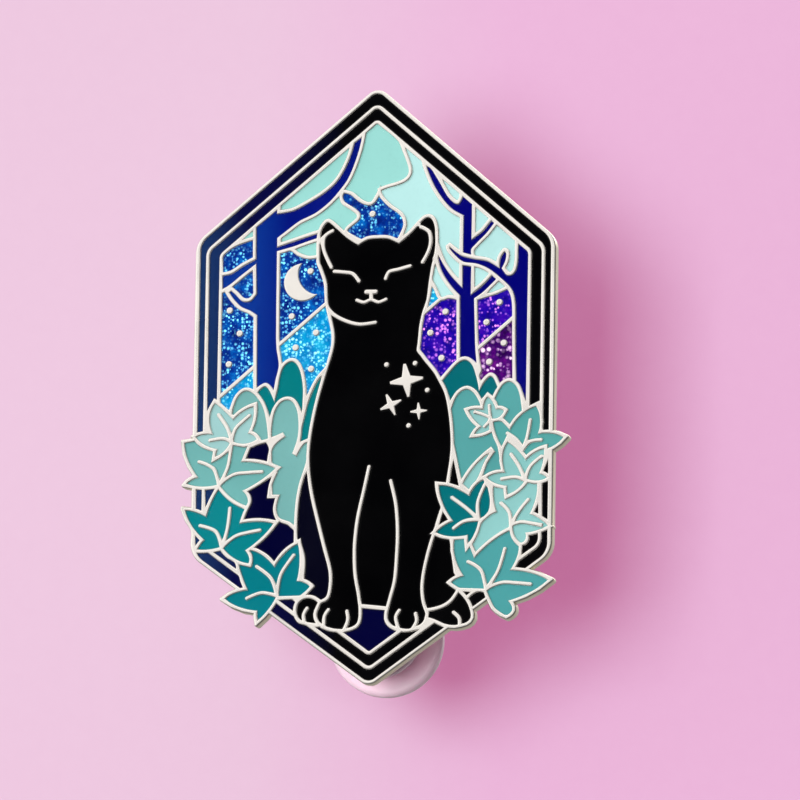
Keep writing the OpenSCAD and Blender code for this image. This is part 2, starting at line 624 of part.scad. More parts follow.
// motif i, half a line inside its outline and clear of raised details
module inside(i) {
  difference() {
    offset(delta = -ink / 2) visible(i);
    detail(i);
    if (i <= 10) {
      for (c = dots) translate(c) circle(r = 0.33, $fn = 14);
      moon();
    }
    if (i == 22) for (c = chest_dots) translate(c) circle(r = 0.26, $fn = 14);
  }
}

// the pool of enamel in motif i, without gaps too narrow to hold any
module cell(i) {
  scale([k, k])
    offset(delta = 0)
      intersection() {
        offset(delta = smooth_r) offset(delta = -smooth_r) inside(i);
        offset(delta = 0.004) inside(i);
      }
}

// motifs that reach over the frame
overhanging = [20, 21, 23, 24, 25, 26, 27, 28, 31, 32];

// edge of the whole plate
module silhouette() {
  scale([k, k])
    offset(delta = 0) {
      hexagon(0, 0, corner_r);
      offset(r = ink / 2 + 0.02, $fn = 10)
        for (i = overhanging) motif(i);
    }
}

// every cell that is sunk between the raised lines
module cells() {
  offset(delta = 0) for (i = [0 : last_motif]) cell(i);
}

// ---------- pieces ----------

// stands a flat shape up, t thick, its near face at depth y behind the face
module stand(y, t) {
  translate([0, y, 0]) rotate([90, 0, 0]) linear_extrude(t) children();
}

module pool(i, tone) {
  color(tone) stand(-floor_t, fill_t) cell(i);
}

module post_seat(z) {
  translate([0, -seat_depth, z * k]) rotate([-90, 0, 0])
    cylinder(d = seat_d, h = seat_depth + 1, $fn = 48);
}

module metal_plate() {
  color([0.83, 0.81, 0.79]) difference() {
    stand(0, plate_t) silhouette();
    stand(-floor_t, cell_depth + 1) cells();
    post_seat(upper_post_z);
    post_seat(-lower_post_z);
  }
}

black = [0.03, 0.03, 0.04];
navy = [0.02, 0.03, 0.42];
deep_navy = [0.02, 0.02, 0.2];
mint = [0.65, 0.87, 0.85];
pale_mint = [0.76, 0.91, 0.91];
dark_teal = [0, 0.47, 0.5];
teal = [0, 0.54, 0.55];
mid_teal = [0.33, 0.68, 0.67];
grey_teal = [0.47, 0.71, 0.71];
light_teal = [0.58, 0.79, 0.79];

module outer_border_enamel() {
  pool(0, black);
}
module inner_border_enamel() {
  pool(1, black);
}
module blue_sky_glitter() {
  pool(2, [0.02, 0.2, 0.66]);
  pool(10, [0.02, 0.2, 0.66]);
}
module cyan_sky_glitter() {
  pool(3, [0, 0.53, 0.82]);
}
module violet_sky_glitter() {
  pool(4, [0.14, 0, 0.63]);
}
module purple_sky_glitter() {
  pool(5, [0.3, 0, 0.45]);
}
module undergrowth_enamel() {
  pool(6, deep_navy);
}
module ground_enamel() {
  pool(7, deep_navy);
}
module left_canopy_enamel() {
  pool(8, mint);
}
module right_canopy_enamel() {
  pool(9, pale_mint);
}
module left_tree_enamel() {
  pool(11, navy);
}
module right_tree_enamel() {
  pool(12, navy);
}
module far_right_tree_enamel() {
  pool(13, navy);
}
module left_back_bush_enamel() {
  pool(14, teal);
}
module right_back_bush_enamel() {
  pool(15, dark_teal);
}
module left_front_bush_enamel() {
  pool(16, grey_teal);
}
module right_front_bush_enamel() {
  pool(17, mid_teal);
}
module left_haunch_enamel() {
  pool(18, black);
}
module right_haunch_enamel() {
  pool(19, black);
}
module cat_enamel() {
  pool(22, black);
}
module left_hind_paw_enamel() {
  pool(20, black);
}
module right_hind_paw_enamel() {
  pool(21, black);
}
module left_ivy_bottom_enamel() {
  pool(23, teal);
}
module left_ivy_third_enamel() {
  pool(24, teal);
}
module left_ivy_second_enamel() {
  pool(25, grey_teal);
}
module left_ivy_top_enamel() {
  pool(26, light_teal);
}
module right_ivy_bottom_enamel() {
  pool(27, mid_teal);
}
module right_ivy_back_enamel() {
  pool(28, mid_teal);
}
module right_ivy_blade_enamel() {
  pool(29, light_teal);
}
module right_ivy_dark_enamel() {
  pool(30, dark_teal);
}
module right_ivy_third_enamel() {
  pool(31, light_teal);
}
module right_ivy_second_enamel() {
  pool(32, light_teal);
}
module right_ivy_small_enamel() {
  pool(33, light_teal);
}

// post with its flat pad, turned about its own axis
pad_d = 2.4;
pad_t = 0.3;
point_len = 1.1;

module post(z) {
  r = post_d / 2;
  color([0.8, 0.79, 0.76])
    translate([0, -seat_depth, z * k]) rotate([-90, 0, 0])
      rotate_extrude($fn = 32)
        polygon([
          [0, 0],
          [pad_d / 2, 0],
          [pad_d / 2, pad_t],
          [r, pad_t],
          [r, post_len + seat_depth - point_len],
          [0.4 * r, post_len + seat_depth - 0.25],
          [0, post_len + seat_depth]
        ]);
}

// ring of solder round the foot of the post
module solder(z) {
  r = post_d / 2;
  h = pad_t + 0.35;
  w = (seat_d - pad_d) / 2 - 0.1;
  color([0.7, 0.7, 0.71])
    translate([0, -seat_depth, z * k]) rotate([-90, 0, 0])
      rotate_extrude($fn = 32)
        polygon(concat(
          [[pad_d / 2, 0]],
          [for (a = [0 : 22.5 : 90])
            [pad_d / 2 + w * (1 - sin(a)) , h * (1 - cos(a)) ]],
          [[r, h], [r, pad_t], [pad_d / 2, pad_t]]));
}

// rubber clutch, turned about the post: small flange toward the plate,
// waisted neck, wide flange to grip, countersunk bore
module clutch(z) {
  r = post_d / 2 + bore_clear;
  big = flange_d / 2;
  small = small_flange_d / 2;
  neck = neck_d / 2;
  big_t = 1.7;
  small_t = 1.4;
  e = 0.5;
  f = small - e - neck;
  g = 1;
  lip = clutch_len - big_t;
  color([0.93, 0.9, 0.92])
    translate([0, cloth_gap, z * k]) rotate([-90, 0, 0])
      rotate_extrude($fn = 56)
        polygon(concat(
          [[r, 0.75], [r + 0.75, 0]],
          [for (a = [-90 : 30 : 0])
            [small - e + e * cos(a), e + e * sin(a)]],
          [for (a = [0 : 30 : 90])
            [small - e + e * cos(a), small_t - e + e * sin(a)]],
          [for (a = [-120 : -30 : -180])
            [neck + f + f * cos(a), small_t + f + f * sin(a)]],
          [for (a = [180 : -30 : 90])
            [neck + g + g * cos(a), lip - g + g * sin(a)]],
          [for (a = [-90 : 30 : 0])
            [big - e + e * cos(a), lip + e + e * sin(a)]],
          [for (a = [0 : 30 : 90])
            [big - e + e * cos(a), clutch_len - e + e * sin(a)]],
          [[r + 0.9, clutch_len], [r + 0.6, clutch_len - 0.3],
           [r, clutch_len - 0.3]]));
}

module upper_post() {
  post(upper_post_z);
}
module lower_post() {
  post(-lower_post_z);
}
module upper_post_solder() {
  solder(upper_post_z);
}
module lower_post_solder() {
  solder(-lower_post_z);
}
module upper_clutch() {
  clutch(upper_post_z);
}
module lower_clutch() {
  clutch(-lower_post_z);
}

// ---------- which piece to draw ----------

metal_plate();
outer_border_enamel();
inner_border_enamel();
blue_sky_glitter();
cyan_sky_glitter();
violet_sky_glitter();
purple_sky_glitter();
undergrowth_enamel();
ground_enamel();
left_canopy_enamel();
right_canopy_enamel();
left_tree_enamel();
right_tree_enamel();
far_right_tree_enamel();
left_back_bush_enamel();
right_back_bush_enamel();
left_front_bush_enamel();
right_front_bush_enamel();
left_haunch_enamel();
right_haunch_enamel();
cat_enamel();
left_hind_paw_enamel();
right_hind_paw_enamel();
left_ivy_bottom_enamel();
left_ivy_third_enamel();
left_ivy_second_enamel();
left_ivy_top_enamel();
right_ivy_bottom_enamel();
right_ivy_back_enamel();
right_ivy_blade_enamel();
right_ivy_dark_enamel();
right_ivy_third_enamel();
right_ivy_second_enamel();
right_ivy_small_enamel();
upper_post();
lower_post();
upper_post_solder();
lower_post_solder();
upper_clutch();
lower_clutch();
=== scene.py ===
import math

import bmesh
import bpy
import numpy as np
from mathutils import Matrix, Vector
from mathutils.geometry import delaunay_2d_cdt


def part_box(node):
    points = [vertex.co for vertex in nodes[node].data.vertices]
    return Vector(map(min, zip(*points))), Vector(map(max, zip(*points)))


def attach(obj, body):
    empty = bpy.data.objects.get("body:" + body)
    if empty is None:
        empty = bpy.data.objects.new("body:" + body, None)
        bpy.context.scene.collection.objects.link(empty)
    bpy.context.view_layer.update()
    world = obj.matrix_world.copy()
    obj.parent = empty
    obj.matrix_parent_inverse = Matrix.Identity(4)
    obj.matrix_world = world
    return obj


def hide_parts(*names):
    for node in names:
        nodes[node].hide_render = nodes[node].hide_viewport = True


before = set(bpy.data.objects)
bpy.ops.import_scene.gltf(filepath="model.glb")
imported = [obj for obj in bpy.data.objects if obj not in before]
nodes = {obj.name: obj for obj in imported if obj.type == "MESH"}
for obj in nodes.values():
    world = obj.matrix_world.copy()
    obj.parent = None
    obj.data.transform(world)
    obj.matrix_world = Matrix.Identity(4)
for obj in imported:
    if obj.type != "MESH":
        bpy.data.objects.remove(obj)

MM = 0.001
# in millimetres: points this close are one, and a flat face may be this far off its depth
WELD, LEVEL_MISS = 2e-4, 0.004
# points worked on at a time
CHUNK = 400
scene = bpy.context.scene
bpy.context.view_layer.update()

# ------------------------------------------------------------------ outlines


def welded(obj):
    """The node's vertices in millimetres and its triangles, with shared vertices."""
    me = obj.data
    me.calc_loop_triangles()
    co = np.zeros(len(me.vertices) * 3, np.float32)
    me.vertices.foreach_get("co", co)
    co = co.reshape(-1, 3).astype(float) / MM
    tri = np.zeros(len(me.loop_triangles) * 3, np.int32)
    me.loop_triangles.foreach_get("vertices", tri)
    key = np.round(co / WELD).astype(np.int64)
    _, first, inverse = np.unique(key, axis=0, return_index=True, return_inverse=True)
    return co[first], inverse.reshape(-1)[tri.reshape(-1, 3)]


def flat_loops(obj, y):
    """Closed outlines (x, z) of the node's flat face at depth y, with the node on their left.

    An outline round the shape has a positive area, one round a hole a negative one.
    """
    co, tri = welded(obj)
    on = np.all(np.abs(co[tri][:, :, 1] - y) < LEVEL_MISS, axis=1)
    edges = set()
    for a, b, c in tri[on]:
        if a == b or b == c or a == c:
            continue
        edges.update(((a, b), (b, c), (c, a)))
    out = {}
    for a, b in edges:
        if (b, a) not in edges:
            out.setdefault(a, []).append(b)
    loops = []
    while out:
        start = next(iter(out))
        loop, here = [start], start
        while True:
            nxt = out[here].pop()
            if not out[here]:
                del out[here]
            if nxt == start or nxt not in out:
                break
            loop.append(nxt)
            here = nxt
        if len(loop) > 2:
            loops.append(co[loop][:, [0, 2]])
    return loops


def unit(v):
    return v / np.maximum(np.linalg.norm(v, axis=-1, keepdims=True), 1e-12)


def thinned(p, least=0.02):
    """Drops points that lie closer to the last kept one than least."""
    keep = [0]
    for i in range(1, len(p)):
        if np.linalg.norm(p[i] - p[keep[-1]]) > least:
            keep.append(i)
    while len(keep) > 3 and np.linalg.norm(p[keep[-1]] - p[keep[0]]) < least:
        keep.pop()
    return p[keep]


# How an outline is smoothed, in degrees and millimetres. A bend past CORNER stays sharp, but
# bends up to SHORT_BEND or TINY_BEND between pieces under SHORT or TINY are parts of a curve.
CORNER = 36.0
SHORT_BEND, SHORT = 52, 1.1
TINY_BEND, TINY = 75, 0.32
# a side this many times as long as its neighbour keeps its own direction
STRAIGHT = 2.6
# the most that a side may bow
SWELL = 0.055
# a side is cut into steps if it bends and measures more than this
LEAST_BEND, LEAST_SIDE = 1.5, 0.06
# one step for each so much bend or length, up to the most
BEND_STEP, SIDE_STEP, MOST_STEPS = 12.0, 0.3, 4


def smoothed(p):
    """The outline with its gentle bends turned into curves; corners stay sharp."""
    p = thinned(np.asarray(p, float))
    n = len(p)
    if n < 4:
        return p
    nxt = np.roll(p, -1, axis=0) - p
    length = np.linalg.norm(nxt, axis=1)
    d = unit(nxt)
    before, l_before = np.roll(d, 1, axis=0), np.roll(length, 1)
    cross = before[:, 0] * d[:, 1] - before[:, 1] * d[:, 0]
    turn = np.degrees(np.arctan2(cross, (before * d).sum(1)))
    longest, angle = np.maximum(length, l_before), np.abs(turn)
    curved = (angle < SHORT_BEND) & (longest < SHORT)
    curved |= (angle < TINY_BEND) & (longest < TINY)
    sharp = (angle > CORNER) & ~curved
    tangent = unit(before * length[:, None] + d * l_before[:, None])
    # a long straight side that runs into a short arc stays straight
    tangent = np.where((length > STRAIGHT * l_before)[:, None], d, tangent)
    tangent = np.where((l_before > STRAIGHT * length)[:, None], before, tangent)
    out = []
    for i in range(n):
        j = (i + 1) % n
        c = d[i]
        t0 = c if sharp[i] else tangent[i]
        t1 = c if sharp[j] else tangent[j]
        if sharp[i] and not sharp[j]:
            t0 = 2 * (t1 @ c) * c - t1
        if sharp[j] and not sharp[i]:
            t1 = 2 * (t0 @ c) * c - t0
        swell = float(np.linalg.norm(t0 - t1)) * length[i] / 8
        if swell > SWELL:
            t0, t1 = (c + (t - c) * SWELL / swell for t in (t0, t1))
        bend = math.degrees(math.acos(max(-1.0, min(1.0, float(t0 @ t1)))))
        m = 1
        if bend > LEAST_BEND and length[i] > LEAST_SIDE:
            steps = max(2, round(bend / BEND_STEP), round(length[i] / SIDE_STEP))
            m = int(min(MOST_STEPS, steps))
        out.append(p[i])
        for s in range(1, m):
            u = s / m
            h00, h10 = 2 * u**3 - 3 * u * u + 1, u**3 - 2 * u * u + u
            h01, h11 = -2 * u**3 + 3 * u * u, u**3 - u * u
            out.append(h00 * p[i] + h10 * t0 * length[i] + h01 * p[j] + h11 * t1 * length[i])
    return np.array(out)


def signed_area(p):
    x, y = p[:, 0], p[:, 1]
    return 0.5 * float(np.sum(x * np.roll(y, -1) - y * np.roll(x, -1)))


# at a very sharp corner the point moves no further than 1 / LEAST_SHARE
LEAST_SHARE = 0.55


def inward(p):
    """At each point the direction into the shape, long enough that the sides move by 1."""
    d = unit(np.roll(p, -1, axis=0) - p)
    left = np.stack([-d[:, 1], d[:, 0]], 1)
    both = unit(left + np.roll(left, 1, axis=0))
    share = np.maximum((both * left).sum(1), LEAST_SHARE)
    return both / share[:, None]


# millimetres: no distance across is taken as more than FAR, and none nearer than NEAR counts
FAR, NEAR = 1.2, 1e-3


def room(loops):
    """For each point of each loop, the distance across the shape from it."""
    a = np.vstack(loops)
    b = np.vstack([np.roll(p, -1, axis=0) for p in loops])
    result = []
    for p in loops:
        n = unit(inward(p))
        best = np.full(len(p), FAR)
        for s in range(0, len(p), CHUNK):
            m = n[s : s + CHUNK]
            q = p[s : s + CHUNK] + m * NEAR
            e = b - a
            w = a[None] - q[:, None]
            den = m[:, None, 0] * e[None, :, 1] - m[:, None, 1] * e[None, :, 0]
            den = np.where(np.abs(den) < 1e-12, 1e-12, den)
            t = (w[..., 0] * e[None, :, 1] - w[..., 1] * e[None, :, 0]) / den
            u = (w[..., 0] * m[:, None, 1] - w[..., 1] * m[:, None, 0]) / den
            t = np.where((t > NEAR) & (u >= 0) & (u <= 1), t, FAR)
            best[s : s + CHUNK] = np.minimum(t.min(1), FAR)
        result.append(best)
    return result


# an inset takes this share of the distance across, so that two opposite ones don't meet
ACROSS = 0.42
# millimetres by which an inset may pass the mean of its neighbours'
STEADY = 0.01
# a side that would keep less than this share of its length has its inset shrunk
KEPT, SHRINK = 0.12, 0.7
STEADY_ROUNDS, SHRINK_ROUNDS = 3, 14


def insets(loops, most):
    """How far each point of each loop can move inward, up to most."""
    sizes = []
    for p, wide in zip(loops, room(loops)):
        r = np.minimum(most, ACROSS * wide)
        for _ in range(STEADY_ROUNDS):
            r = np.minimum(r, 0.5 * (np.roll(r, 1) + np.roll(r, -1)) + STEADY)
        n = inward(p)
        for _ in range(SHRINK_ROUNDS):
            q = p + n * r[:, None]
            e, f = np.roll(p, -1, axis=0) - p, np.roll(q, -1, axis=0) - q
            bad = (e * f).sum(1) < KEPT * (e * e).sum(1)
            if not bad.any():
                break
            bad = bad | np.roll(bad, 1)
            r = np.where(bad, r * SHRINK, r)
        sizes.append(r)
    return sizes


def inside(points, loops):
    """Even-odd test of points against loops."""
    a = np.vstack(loops)
    b = np.vstack([np.roll(p, -1, axis=0) for p in loops])
    out = np.zeros(len(points), bool)
    for s in range(0, len(points), CHUNK):
        q = points[s : s + CHUNK]
        x, z = q[:, 0][:, None], q[:, 1][:, None]
        spans = (a[None, :, 1] > z) != (b[None, :, 1] > z)
        dz = b[None, :, 1] - a[None, :, 1]
        dz = np.where(dz == 0, 1e-12, dz)
        cut = a[None, :, 0] + (z - a[None, :, 1]) * (b - a)[None, :, 0] / dz
        out[s : s + CHUNK] = (np.sum(spans & (x < cut), axis=1) % 2) == 1
    return out


def filled(loops):
    """The points and the counter-clockwise triangles that fill the shape between loops."""
    points, edges = [], []
    for p in loops:
        base = len(points)
        points += [Vector(map(float, q)) for q in p]
        edges += [(base + i, base + (i + 1) % len(p)) for i in range(len(p))]
    v, _, f, *_ = delaunay_2d_cdt(points, edges, [], 0, 1e-6)
    v = np.array([(q.x, q.y) for q in v])
    f = np.array([t for t in f if len(t) == 3])
    f = f[inside(v[f].mean(1), loops)]
    a, b, c = v[f[:, 0]], v[f[:, 1]], v[f[:, 2]]
    area = (b - a)[:, 0] * (c - a)[:, 1] - (b - a)[:, 1] * (c - a)[:, 0]
    f[area < 0] = f[area < 0][:, ::-1]
    return v, f[np.abs(area) > 1e-9]


# -------------------------------------------------------------------- meshes


# how much of a normal lies along Y on a level face, and on one that may take its shading
LEVEL, NEARLY = 0.99999, 0.8


def keep_level(me):
    """Faces that look along Y shade dead level; what curves away starts from that."""
    nv, nl, nf = len(me.vertices), len(me.loops), len(me.polygons)
    normal = np.zeros(nf * 3, np.float32)
    me.polygons.foreach_get("normal", normal)
    normal = normal.reshape(-1, 3)
    size = np.zeros(nf, np.int32)
    me.polygons.foreach_get("loop_total", size)
    face = np.repeat(np.arange(nf), size)
    vert = np.zeros(nl, np.int32)
    me.loops.foreach_get("vertex_index", vert)
    corner = np.zeros(nl * 3, np.float32)
    me.corner_normals.foreach_get("vector", corner)
    corner = corner.reshape(-1, 3).astype(float)
    for side in (-1.0, 1.0):
        level = normal[:, 1] * side > LEVEL
        touched = np.zeros(nv, bool)
        touched[vert[level[face]]] = True
        pick = touched[vert] & (normal[face][:, 1] * side > NEARLY)
        corner[pick] = (0.0, side, 0.0)
    me.normals_split_custom_set(corner.tolist())


class Build:
    """Collects vertices in millimetres and faces with a material index."""

    def __init__(self):
        self.v, self.f, self.m, self.n = [], [], [], 0

    def points(self, co):
        self.v.append(np.array(co, float))
        self.n += len(co)
        return self.n - len(co)

    def strip(self, rings, material=0):
        """Faces between successive closed rings of equally many 3-D points."""
        first = [self.points(r) for r in rings]
        n = len(rings[0])
        i = np.arange(n)
        j = (i + 1) % n
        for a, b in zip(first, first[1:]):
            quads = np.stack([a + i, a + j, b + j, b + i], 1)
            self.f += quads.tolist()
            self.m += [material] * n

    def fill(self, loops, y, front=True, material=0):
        """The flat shape between loops at depth y, facing -Y in front and +Y behind."""
        v, f = filled(loops)
        base = self.points(ring(v, y))
        f = f if front else f[:, ::-1]
        self.f += (f + base).tolist()
        self.m += [material] * len(f)

    def make(self, name, materials, smooth, weld=WELD, level=False):
        co = np.vstack(self.v) * MM
        me = bpy.data.meshes.new(name)
        me.from_pydata(co.tolist(), [], self.f)
        for m in materials:
            me.materials.append(m)
        me.polygons.foreach_set("material_index", self.m)
        bm = bmesh.new()
        bm.from_mesh(me)
        bmesh.ops.remove_doubles(bm, verts=bm.verts, dist=weld * MM)
        bmesh.ops.dissolve_degenerate(bm, dist=1e-9, edges=bm.edges)
        bm.to_mesh(me)
        bm.free()
        me.polygons.foreach_set("use_smooth", [True] * len(me.polygons))
        me.set_sharp_from_angle(angle=math.radians(smooth))
        if level:
            keep_level(me)
        obj = bpy.data.objects.new(name, me)
        scene.collection.objects.link(obj)
        return obj


def ring(p, y):
    """A loop of (x, z) at depth y, or at a depth for each point."""
    return np.stack([p[:, 0], np.broadcast_to(y, len(p)), p[:, 1]], 1)


def lathe(name, profile, centre, material, steps, smooth):
    """Turns (radius, depth along +Y) points in millimetres about the Y axis through centre."""
    b = Build()
    a = np.linspace(0, 2 * math.pi, steps, endpoint=False)
    rings = [np.stack([r * np.cos(a), np.full(steps, y), r * np.sin(a)], 1) for r, y in profile]
    for i in range(len(rings) - 1):
        b.strip(rings[i : i + 2])
    for v in b.v:
        v += np.array(centre)
    b.f = [q[::-1] for q in b.f]
    return b.make(name, [material], smooth, weld=WELD / 2)


def arc(cx, cy, r, a0, a1, n=6):
    """Points of a circle's arc from angle a0 to a1, in degrees."""
    angles = [math.radians(a0 + (a1 - a0) * i / n) for i in range(n + 1)]
    return [(cx + r * math.cos(a), cy + r * math.sin(a)) for a in angles]


# ----------------------------------------------------------------- materials


class Tree:
    """Short names for building a node material."""

    def __init__(self, name):
        self.mat = bpy.data.materials.new(name)
        self.mat.use_nodes = True
        self.nt = self.mat.node_tree
        self.bsdf = self.nt.nodes["Principled BSDF"]
        self.out = self.nt.nodes["Material Output"]

    def new(self, kind, **values):
        n = self.nt.nodes.new(kind)
        for k, v in values.items():
            if hasattr(n, k):
                setattr(n, k, v)
            else:
                n.inputs[k.replace("_", " ")].default_value = v
        return n

    def link(self, a, b):
        self.nt.links.new(a, b)

    def set(self, **values):
        for k, v in values.items():
            self.bsdf.inputs[k.replace("_", " ")].default_value = v

    def place(self):
        if not hasattr(self, "_place"):
            self._place = self.new("ShaderNodeTexCoord").outputs["Object"]
        return self._place

    def noise(self, scale, detail=3.0, rough=0.55, at=None):
        n = self.new("ShaderNodeTexNoise", Scale=scale, Detail=detail, Roughness=rough)
        self.link(at or self.place(), n.inputs["Vector"])
        return n.outputs["Fac"]

    def stretched(self, scale, turn=(0, 0, 0)):
        m = self.new("ShaderNodeMapping")
        m.inputs["Scale"].default_value = scale
        m.inputs["Rotation"].default_value = turn
        self.link(self.place(), m.inputs["Vector"])
        return m.outputs["Vector"]

    def ramp(self, fac, stops):
        r = self.new("ShaderNodeValToRGB")
        e = r.color_ramp.elements
        while len(e) < len(stops):
            e.new(0.5)
        for x, (at, c) in zip(e, stops):
            x.position = at
            x.color = (*c, 1)
        self.link(fac, r.inputs["Fac"])
        return r.outputs["Color"]

    def grey(self, fac, low, high, a=0.3, b=0.7):
        r = self.new("ShaderNodeMapRange")
        for k, v in (("From Min", a), ("From Max", b), ("To Min", low), ("To Max", high)):
            r.inputs[k].default_value = v
        self.link(fac, r.inputs["Value"])
        return r.outputs["Result"]

    def mix(self, fac, a, b, kind="MIX"):
        m = self.new("ShaderNodeMix", data_type="RGBA", blend_type=kind)
        for socket, value in ((m.inputs[0], fac), (m.inputs[6], a), (m.inputs[7], b)):
            if isinstance(value, bpy.types.NodeSocket):
                self.link(value, socket)
            elif isinstance(value, (int, float)):
                socket.default_value = value
            else:
                socket.default_value = (*value, 1)
        return m.outputs[2]

    def bump(self, fac, strength, distance, before=None):
        b = self.new("ShaderNodeBump")
        b.inputs["Strength"].default_value = strength
        b.inputs["Distance"].default_value = distance
        self.link(fac, b.inputs["Height"])
        if before is not None:
            self.link(before, b.inputs["Normal"])
        return b.outputs["Normal"]


# share of a written colour that is mixed into the enamel
DYE = 0.6
# enamel: how cloudy its colour is, its roughness, and how strongly it reflects
CLOUDY, ROUGH, SHINE = 0.05, 0.09, 0.08
# glitter: how strongly the painted glints glow, and how strongly the enamel reflects
PAINTED_GLINT_GLOW, GLITTER_SHINE = 1.1, 0.1
RUBBER_SHADE = 0.84


def lin(text):
    """sRGB hex to linear."""
    c = [int(text[i : i + 2], 16) / 255 for i in (0, 2, 4)]
    return tuple(x / 12.92 if x <= 0.04045 else ((x + 0.055) / 1.055) ** 2.4 for x in c)


def dye(text):
    """A colour as it is mixed, so that the strong lamp brings it up to the one written."""
    return scaled(lin(text), DYE)


def scaled(c, k):
    return tuple(min(1.0, x * k) for x in c)


def enamel(name, colour, left=None):
    """Glossy enamel. left lists tones that take over toward -X, between two positions."""
    t = Tree(name)
    c = dye(colour)
    cloud = t.noise(130, 4)
    base = t.ramp(cloud, [(0.3, scaled(c, 1 - CLOUDY)), (0.7, scaled(c, 1 + CLOUDY))])
    if left is not None:
        across = t.new("ShaderNodeSeparateXYZ")
        t.link(t.place(), across.inputs[0])
        for tone, x0, x1 in left:
            base = t.mix(t.grey(across.outputs["X"], 1.0, 0.0, x0, x1), base, dye(tone))
    speck = t.grey(t.noise(2600, 2), 0.0, 0.2, 0.55, 0.8)
    t.link(t.mix(speck, base, scaled(c, 0.8)), t.bsdf.inputs["Base Color"])
    t.link(t.grey(cloud, ROUGH * 0.8, ROUGH * 1.5), t.bsdf.inputs["Roughness"])
    t.set(IOR=1.5, Specular_IOR_Level=SHINE)
    t.link(t.bump(t.noise(700, 2), 0.06, 0.00002), t.bsdf.inputs["Normal"])
    return t.mat


def glitter(name, deep, mid, light, spark, dots, many):
    """Clear enamel over flakes: a cloudy deep colour with small round glints in patches.

    The glints are painted highlights: they give off light of their own, so they don't change
    with the view.
    """
    t = Tree(name)
    cloud = t.noise(900, 4, 0.65)
    body = t.ramp(cloud, [(0.3, dye(deep)), (0.5, dye(mid)), (0.72, dye(light))])
    patch = t.grey(t.noise(620, 3), 0.12, 1.0, 0.4, 0.58)
    lit = None
    for scale, reach, share in ((dots, 0.46, many), (dots * 1.6, 0.5, many)):
        cells = t.new("ShaderNodeTexVoronoi", Scale=scale)
        t.link(t.place(), cells.inputs["Vector"])
        part = t.new("ShaderNodeSeparateColor")
        t.link(cells.outputs["Color"], part.inputs["Color"])
        disc = t.grey(cells.outputs["Distance"], 1.0, 0.0, reach * 0.45, reach * 1.15)
        chosen = t.grey(part.outputs["Red"], 0.0, 1.0, 1 - share, 1 - share * 0.4)
        one = t.mix(1.0, t.mix(1.0, disc, chosen, "MULTIPLY"), patch, "MULTIPLY")
        lit = one if lit is None else t.mix(1.0, lit, one, "LIGHTEN")
    hue = t.mix(part.outputs["Green"], dye(light), dye(spark))
    t.link(t.mix(lit, body, hue), t.bsdf.inputs["Base Color"])
    # painted glints: the flakes glow in the glint colour, with no lamp behind it
    t.link(t.mix(1.0, lit, lin(spark), "MULTIPLY"), t.bsdf.inputs["Emission Color"])
    t.set(Emission_Strength=PAINTED_GLINT_GLOW, IOR=1.5, Specular_IOR_Level=GLITTER_SHINE, Roughness=0.1)
    t.link(t.bump(cloud, 0.1, 0.00003), t.bsdf.inputs["Normal"])
    return t.mat


def metal(name, tint, rough, streak, grain=0.0):
    t = Tree(name)
    c = lin(tint)
    cloud = t.noise(260, 4)
    rub = t.noise(1.0, 3, at=t.stretched((9000, 900, 500), (0.0, 0.7, 0.0)))
    base = t.ramp(cloud, [(0.3, scaled(c, 0.96)), (0.7, scaled(c, 1.03))])
    dull = t.noise(900, 4)
    worn = t.mix(t.grey(dull, 0.0, 0.12, 0.55, 0.8), base, scaled(c, 0.8))
    t.link(worn, t.bsdf.inputs["Base Color"])
    t.link(t.grey(cloud, rough * 0.85, rough * 1.25), t.bsdf.inputs["Roughness"])
    t.set(Metallic=1.0)
    n = t.bump(rub, streak, 0.000004)
    if grain:
        pits = t.new("ShaderNodeTexVoronoi", Scale=4200.0)
        t.link(t.place(), pits.inputs["Vector"])
        n = t.bump(pits.outputs["Distance"], grain, 0.00005, n)
        n = t.bump(t.noise(1500, 5), grain, 0.00004, n)
    t.link(n, t.bsdf.inputs["Normal"])
    return t.mat


def rubber(name):
    t = Tree(name)
    cloud = t.noise(220, 4)
    # the pale pink is partly the rubber's own and partly painted pink light bounced from the
    # paper
    low, high = (scaled(lin(tone), RUBBER_SHADE) for tone in ("F3CFE2", "FBDFED"))
    t.link(t.ramp(cloud, [(0.3, low), (0.7, high)]), t.bsdf.inputs["Base Color"])
    t.link(t.grey(t.noise(1500, 3), 0.28, 0.42), t.bsdf.inputs["Roughness"])
    t.set(
        IOR=1.45,
        Transmission_Weight=0.25,
        Subsurface_Weight=0.5,
        Subsurface_Scale=0.0025,
        Coat_Weight=0.2,
        Coat_Roughness=0.25,
    )
    t.bsdf.inputs["Subsurface Radius"].default_value = (1.0, 0.75, 0.85)
    t.link(t.bump(t.noise(3200, 3), 0.25, 0.00003), t.bsdf.inputs["Normal"])
    return t.mat


nickel = metal("polished_nickel", "F6F2EC", 0.26, 0.05)
nickel_back = metal("struck_nickel_back", "DAD4CF", 0.4, 0.2, 0.14)
# the side wall: the same nickel made darker and beige, as painted shade
side_nickel_painted_shade = metal("side_wall_painted_shade", "D0C6AC", 0.33, 0.25)
steel = metal("post_steel", "D9D5CF", 0.24, 0.4)
dull_solder = metal("dull_solder", "B9B9BA", 0.45, 0.2, 0.25)
milky = rubber("milky_rubber_painted_pink")

# -------------------------------------------------------------------- plate

top_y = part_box("metal_plate")[0].y / MM
enamel_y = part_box("cat_enamel")[0].y / MM
floor_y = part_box("cat_enamel")[1].y / MM

posts = {}
for which in ("upper", "lower"):
    a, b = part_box(which + "_post")
    posts[which] = {
        "x": (a.x + b.x) / 2 / MM,
        "z": (a.z + b.z) / 2 / MM,
        "pad_r": (b.x - a.x) / 2 / MM,
        "y0": a.y / MM,
        "y1": b.y / MM,
    }

lines = [smoothed(p) for p in flat_loops(nodes["metal_plate"], top_y)]
areas = [signed_area(p) for p in lines]
outer = max(range(len(lines)), key=lambda i: areas[i])

